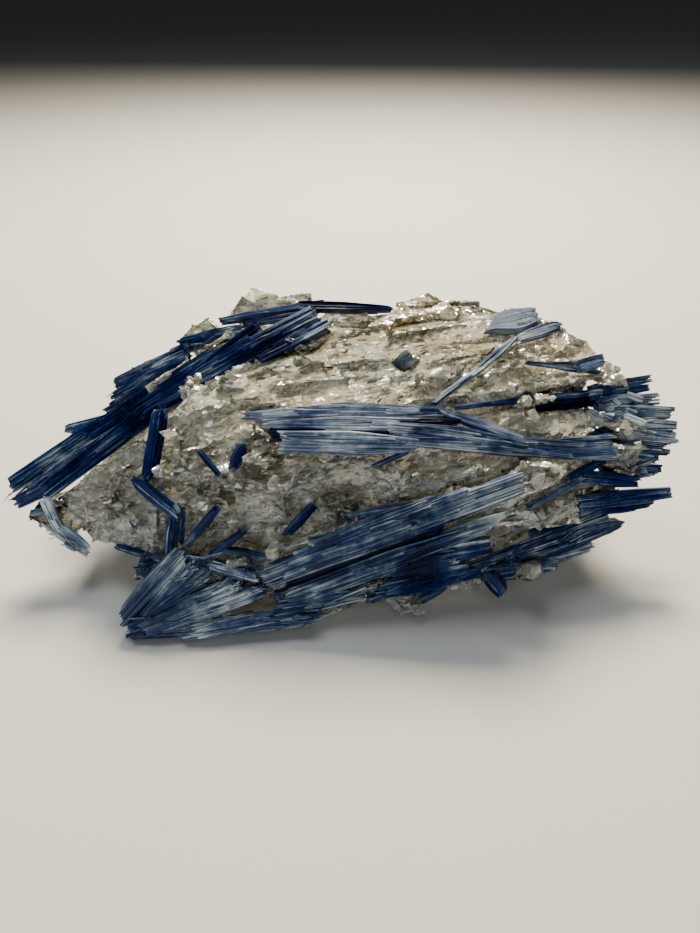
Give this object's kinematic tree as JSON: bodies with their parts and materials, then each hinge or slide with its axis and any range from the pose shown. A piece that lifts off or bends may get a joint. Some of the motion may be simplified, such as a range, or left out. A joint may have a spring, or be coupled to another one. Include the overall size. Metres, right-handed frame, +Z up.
{
  "type": "kyanite blade cluster",
  "caption": "Natural mineral specimen: flat blue kyanite blades grown through and around a block of milky quartz.",
  "frame": {"origin": "middle of the specimen's plan outline, on the surface it rests on", "axes": "+X along the specimen, +Y from its front to its back, +Z up"},
  "size_m": [0.2162, 0.1145, 0.0717],
  "materials": {
    "milky_quartz": "glassy broken quartz, milky and stained",
    "royal_kyanite": "pearly, striated along the blade",
    "slate_kyanite": "pearly, streaked with grey",
    "violet_kyanite": "pearly, with pale cleavage streaks",
    "pale_kyanite": "silvery cleavage face",
    "smoky_kyanite": "dull, ribbed"
  },
  "bodies": {
    "root": {"back_cross_blade": "royal_kyanite", "back_left_blade": "slate_kyanite", "back_long_blades": "slate_kyanite", "back_right_blades": "royal_kyanite", "band_blades": "violet_kyanite", "bottom_right_fan": "slate_kyanite", "bottom_stub": "royal_kyanite", "foot_blades": "slate_kyanite", "foot_lens_blade": "slate_kyanite", "front_long_blades": "slate_kyanite", "front_second_blade": "slate_kyanite", "front_sliver_foot": "royal_kyanite", "front_sliver_left": "royal_kyanite", "front_sliver_low": "royal_kyanite", "front_sliver_middle": "royal_kyanite", "grey_nugget": "smoky_kyanite", "left_long_blades": "royal_kyanite", "left_splinter_bundle": "slate_kyanite", "left_twin_stub": "royal_kyanite", "lower_front_blades": "royal_kyanite", "pale_top_blade": "pale_kyanite", "quartz_matrix": "milky_quartz", "ridge_blade": "royal_kyanite", "right_end_blades": "slate_kyanite", "right_finger_blade": "royal_kyanite", "right_lower_blades": "royal_kyanite", "right_under_blade": "royal_kyanite", "right_wedge_blades": "royal_kyanite", "silver_edge_blade": "pale_kyanite", "step_blade": "slate_kyanite", "thin_diagonal_blade": "slate_kyanite", "upright_blade": "royal_kyanite", "violet_side_blade": "violet_kyanite", "violet_top_blade": "violet_kyanite"}
  },
  "joints": []
}
